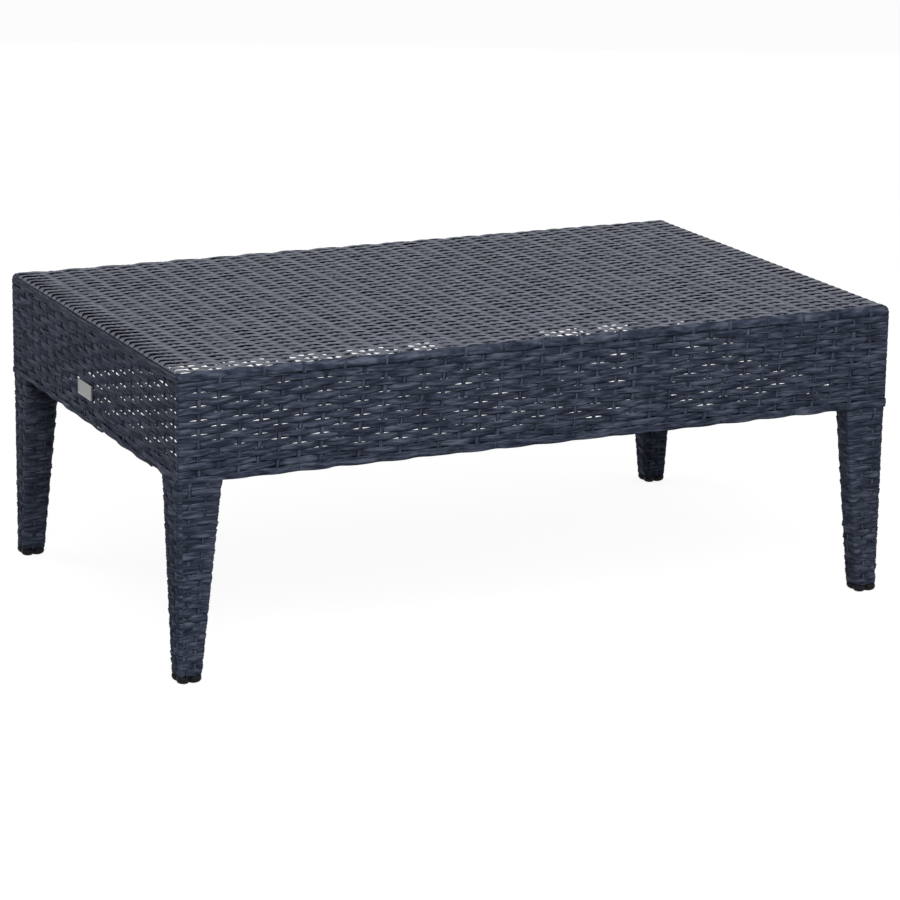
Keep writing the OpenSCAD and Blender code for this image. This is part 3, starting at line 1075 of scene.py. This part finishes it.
def legPiece(name, node, sx, sy, seed):
    rng = np.random.default_rng(seed)
    store = newStore()
    rimLow = legTaperTop - leg["rimHeight"]
    count = int((rimLow - legLow) / leg["rowPitch"])
    pitch = (rimLow - legLow) / count
    tables = makeTables(rng, count + 1, leg["uprights"], sideWeave)
    s = np.linspace(0, 1, leg["rings"] + 1)
    phase = s * leg["uprights"] + 0.5
    ease = leg["easeLeast"] + (1 - leg["easeLeast"]) * legEase(s)
    for row in range(count):
        wobble, wide, deep, tilt = rowValues(tables, row, phase)
        c = np.cos(np.pi * (phase + row)) * ease
        t = legLow + (row + 0.5) * pitch + wobble * leg["wobbleShare"]
        d = np.minimum(leg["amplitude"] * (c + 1 - ease) + deep * leg["depthShare"], leg["amplitude"])
        width = pitch + leg["overlap"] + leg["crestWider"] * np.clip(c, 0, 1)
        width = (width - leg["troughNarrower"] * np.clip(-c, 0, 1)) * (1 + wide)
        points = ringPoints(legSurface, s, t, d, width / 2, leg["thickness"] / 2, strandAcross,
                            strandRelief, tilt * leg["tiltShare"], limits=(legLow + 0.2, rimLow + 1))
        addStrand(store, points, s * legGirth)
    # rim: one proud ridged band
    around = np.ones(len(s))
    points = ringPoints(legSurface, s, around * (legTaperTop - leg["rimHeight"] / 2),
                        around * (leg["amplitude"] - 0.1), around * leg["rimHeight"] / 2, leg["rimThick"],
                        strandAcross, strandRelief)
    addStrand(store, points, s * legGirth)
    t = np.linspace(legLow + 0.3, legTaperTop - 0.6, 60)
    d = -0.1 + (leg["amplitude"] + leg["uprightRise"]) * smoothStep((t - rimLow + 1) / 2.5)
    # the girth grows from three quarters to five quarters of its mean
    girth = legGirth * (0.75 + 0.5 * (t - legLow) / (legTaperTop - legLow))
    for k in range(leg["uprights"]):
        place = (k + 0.5) / leg["uprights"] + rng.uniform(-leg["uprightWobble"], leg["uprightWobble"])
        points = ringPoints(legSurface, np.full(len(t), place), t, d, leg["uprightHalf"] / girth,
                            leg["uprightThick"], stakeAcross, stakeRelief, alongT=True)
        addStrand(store, points, t, flip=True)
    makePiece(name, store, resin, [node], mirror=(sx, sy))
    # core, groove and flange behind the weave, coloured near-black as painted shade
    core = newStore()
    around = np.linspace(0, 1, 96, endpoint=False)
    for low, high, depth in (
        (legLow, legTaperTop - 0.3, -leg["coreDepth"]),
        (legTaperTop - 0.5, apronZ, -leg["grooveDepth"] + legMid - 0.5),
    ):
        t = np.linspace(low, high, 12)
        addStrand(core, legSurface(*np.meshgrid(around, t), depth), t, flip=True)
    low = inside["wall"] + leg["flangeGap"]
    high = leg["flangeWidth"]
    addBox(core, (low - halfLength, low - halfWidth, apronZ),
           (high - halfLength, high - halfWidth, apronZ + leg["flangeThick"]))
    makePiece(name + "_core", core, paintedShadeResin, [node], smooth=False, mirror=(sx, sy))


# the legs are made for the front left corner and mirrored for the others
corners = {"front_left": (1, 1), "front_right": (-1, 1), "back_left": (1, -1), "back_right": (-1, -1)}
for number, (corner, (sx, sy)) in enumerate(corners.items()):
    legPiece("leg_weave_" + corner, "leg_" + corner, sx, sy, leg["seed"] + number)
print("legs done")


# feet

foot = {
    "centre": 16,            # from both faces of the table
    "lobeAt": 8.0,
    "lobeRadius": 7.6,
    "waist": 9.3,            # least radius, between the lobes
    "hub": 2.0,
    "segments": 64,
    # share of the outline at each height
    "profile": ((0.55, 0.0), (0.74, 0.35), (0.88, 1.5), (0.97, 3.4), (1.0, 5.6), (0.985, 7.4),
                (0.93, 9.0)),
}


def footPiece(corner, sx, sy):
    # four-lobed rubber plug, wider towards the leg and rounded where it stands
    store = newStore()
    angles = np.linspace(0, 2 * math.pi, foot["segments"], endpoint=False)
    off = (angles % (math.pi / 2)) - math.pi / 4
    reach = foot["lobeAt"] * math.sqrt(2)
    inner = foot["lobeRadius"] ** 2 - (reach * np.sin(off)) ** 2
    outline = np.where(inner > 0, reach * np.cos(off) + np.sqrt(np.maximum(inner, 0)), 0)
    outline = np.maximum(outline, foot["waist"])
    rings = []
    for share, z in foot["profile"]:
        r = outline * share + (1 - share) * foot["hub"]
        x = foot["centre"] + r * np.cos(angles) - halfLength
        y = foot["centre"] + r * np.sin(angles) - halfWidth
        rings.append(np.stack([x, y, np.full(len(x), z)], -1))
    addStrand(store, np.array(rings), np.array([z for _, z in foot["profile"]]), flip=True)
    makePiece("foot_lobes_" + corner, store, rubber, ["foot_" + corner], mirror=(sx, sy))


for corner, (sx, sy) in corners.items():
    footPiece(corner, sx, sy)
print("feet done")


# label plate

plate = {"border": 1.6, "step": 0.5, "cornerRadius": 1.2, "thick": 2.0, "perCorner": 6}


def labelPlate():
    # blank plate with a rolled border, facing -X
    store = newStore()
    low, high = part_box("label_plate")
    y0, y1, z0, z1 = low.y / mm, high.y / mm, low.z / mm, high.z / mm
    face = low.x / mm
    cy, cz = (y0 + y1) / 2, (z0 + z1) / 2
    border, step = plate["border"], plate["step"]

    def outline(inset):
        r = max(plate["cornerRadius"] - inset * 0.5, 0.3)
        points = []
        for qy, qz, start in ((1, 1, 0), (-1, 1, 90), (-1, -1, 180), (1, -1, 270)):
            for k in range(plate["perCorner"]):
                a = math.radians(start + 90 * k / (plate["perCorner"] - 1))
                points.append((cy + qy * ((y1 - y0) / 2 - inset - r) + r * math.cos(a),
                               cz + qz * ((z1 - z0) / 2 - inset - r) + r * math.sin(a)))
        return points

    # inset and depth of each ring, from the back edge over the border to the field
    levels = [(0.0, plate["thick"]), (0.0, 0.35), (0.12, 0.1), (0.35, 0.0), (border - 0.35, 0.0),
              (border - 0.1, 0.12), (border, step - 0.1), (border + 0.2, step)]
    rings = [[(face + depth, y, z) for y, z in outline(inset)] for inset, depth in levels]
    addStrand(store, np.array(rings, float), np.arange(float(len(levels))), flip=True)
    makePiece("label_blank_plate", store, plateSilver, ["label_plate"], False)


labelPlate()

# CAD nodes that stay, with their own finishes
finishes = {"centre_brace": (braceBlack, "brace_steel"), "brace_screws": (zinc, "zinc_steel"),
            "label_clips": (zinc, "zinc_steel")}
for corner in corners:
    for kind in ("leg_bolts_", "leg_washers_", "leg_nuts_"):
        finishes[kind + corner] = (zinc, "zinc_steel")
for node, (material, slotName) in finishes.items():
    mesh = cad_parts[node].data
    if not mesh.materials:
        mesh.materials.append(material)
    for k in range(len(mesh.materials)):
        mesh.materials[k] = material
print("fittings done")


# floor, light and camera

studio = {
    "worldLevel": 0.335,
    "floorHalf": 14,
    "floorColour": (0.95, 0.95, 0.95, 1),
    "floorKeep": 0.2,        # how much of the floor's own shading the camera sees
    "floorGlow": 1.12,
    "floorBounce": (0.3, 0.3, 0.3, 1),
}
lights = {                   # place, height it points at, size, power
    "keyLight": ((-0.75, -2.45, 2.2), 0.3, 2.2, 84),
    "backLight": ((1.9, 3.9, 1.3), 0.38, 2.5, 9),
    "fillLight": ((-2.3, 2.5, 1.6), 0.3, 2.0, 30),
    "sideLight": ((3.4, -0.6, 1.4), 0.3, 2.0, 14),
    "topLight": ((0.2, 0.1, 2.6), 0.3, 2.0, 10),
}


def cameraRays(tree):
    # 1 for what the camera sees directly, in reflections and through clear things
    rays = addNode(tree, "LightPath", {}, {}).outputs
    both = addNode(tree, "Math", {}, {0: rays["Is Camera Ray"], 1: rays["Is Transmission Ray"]})
    every = addNode(tree, "Math", {}, {0: both.outputs[0], 1: rays["Is Glossy Ray"]})
    both.operation = every.operation = "MAXIMUM"
    return every.outputs[0]


def makeFloor():
    mesh = bpy.data.meshes.new("floor")
    h = studio["floorHalf"]
    mesh.from_pydata([(-h, -h, 0), (h, -h, 0), (h, h, 0), (-h, h, 0)], [], [(0, 1, 2, 3)])
    floor = bpy.data.objects.new("floor", mesh)
    scene.collection.objects.link(floor)
    material = bpy.data.materials.new("floorWhite")
    material.use_nodes = True
    tree = material.node_tree
    tree.nodes.clear()
    shaded = addNode(tree, "BsdfDiffuse", {"Color": studio["floorColour"]}, {})
    bounce = addNode(tree, "BsdfDiffuse", {"Color": studio["floorBounce"]}, {})
    glow = addNode(tree, "Emission", {"Strength": studio["floorGlow"]}, {})
    seen = addNode(tree, "MixShader", {"Fac": studio["floorKeep"]},
                   {1: glow.outputs[0], 2: shaded.outputs[0]})
    both = addNode(tree, "MixShader", {},
                   {"Fac": cameraRays(tree), 1: bounce.outputs[0], 2: seen.outputs[0]})
    addNode(tree, "OutputMaterial", {}, {"Surface": both.outputs[0]})
    mesh.materials.append(material)


def makeWorld():
    world = bpy.data.worlds.new("studioWorld")
    scene.world = world
    world.use_nodes = True
    tree = world.node_tree
    tree.nodes.clear()
    lighting = addNode(tree, "Background", {"Color": (1, 1, 1, 1), "Strength": studio["worldLevel"]}, {})
    white = addNode(tree, "Background", {"Color": (1, 1, 1, 1), "Strength": 1.0}, {})
    mix = addNode(tree, "MixShader", {},
                  {"Fac": cameraRays(tree), 1: lighting.outputs[0], 2: white.outputs[0]})
    addNode(tree, "OutputWorld", {}, {"Surface": mix.outputs[0]})


def areaLight(name, place, height, size, power):
    light = bpy.data.lights.new(name, "AREA")
    light.size = size
    light.energy = power
    lamp = bpy.data.objects.new(name, light)
    lamp.location = place
    lamp.rotation_mode = "QUATERNION"
    lamp.rotation_quaternion = (Vector((0, 0, height)) - Vector(place)).to_track_quat("-Z", "Y")
    scene.collection.objects.link(lamp)


cameraSet = {
    "place": (-1.8886, -3.9466, 1.3493),
    "yaw": 25.695,
    "down": 15.155,
    "roll": 0.853,
    "lens": 139.2,
}


def makeCamera():
    data = bpy.data.cameras.new("studioCamera")
    data.lens = cameraSet["lens"]
    data.sensor_width = 36
    data.clip_start = 0.1
    data.clip_end = 60
    camera = bpy.data.objects.new("studioCamera", data)
    scene.collection.objects.link(camera)
    yaw, down, roll = (math.radians(cameraSet[k]) for k in ("yaw", "down", "roll"))
    forward = Vector((math.sin(yaw) * math.cos(down), math.cos(yaw) * math.cos(down), -math.sin(down)))
    right = Vector((math.cos(yaw), -math.sin(yaw), 0))
    up = right.cross(forward)
    sideways = math.cos(roll) * right + math.sin(roll) * up
    upright = -math.sin(roll) * right + math.cos(roll) * up
    camera.matrix_world = Matrix((
        (sideways.x, upright.x, -forward.x, cameraSet["place"][0]),
        (sideways.y, upright.y, -forward.y, cameraSet["place"][1]),
        (sideways.z, upright.z, -forward.z, cameraSet["place"][2]),
        (0, 0, 0, 1),
    ))
    scene.camera = camera


makeCamera()
makeFloor()
makeWorld()
for name, values in lights.items():
    areaLight(name, *values)
scene.view_settings.view_transform = "Standard"
print("studio done")
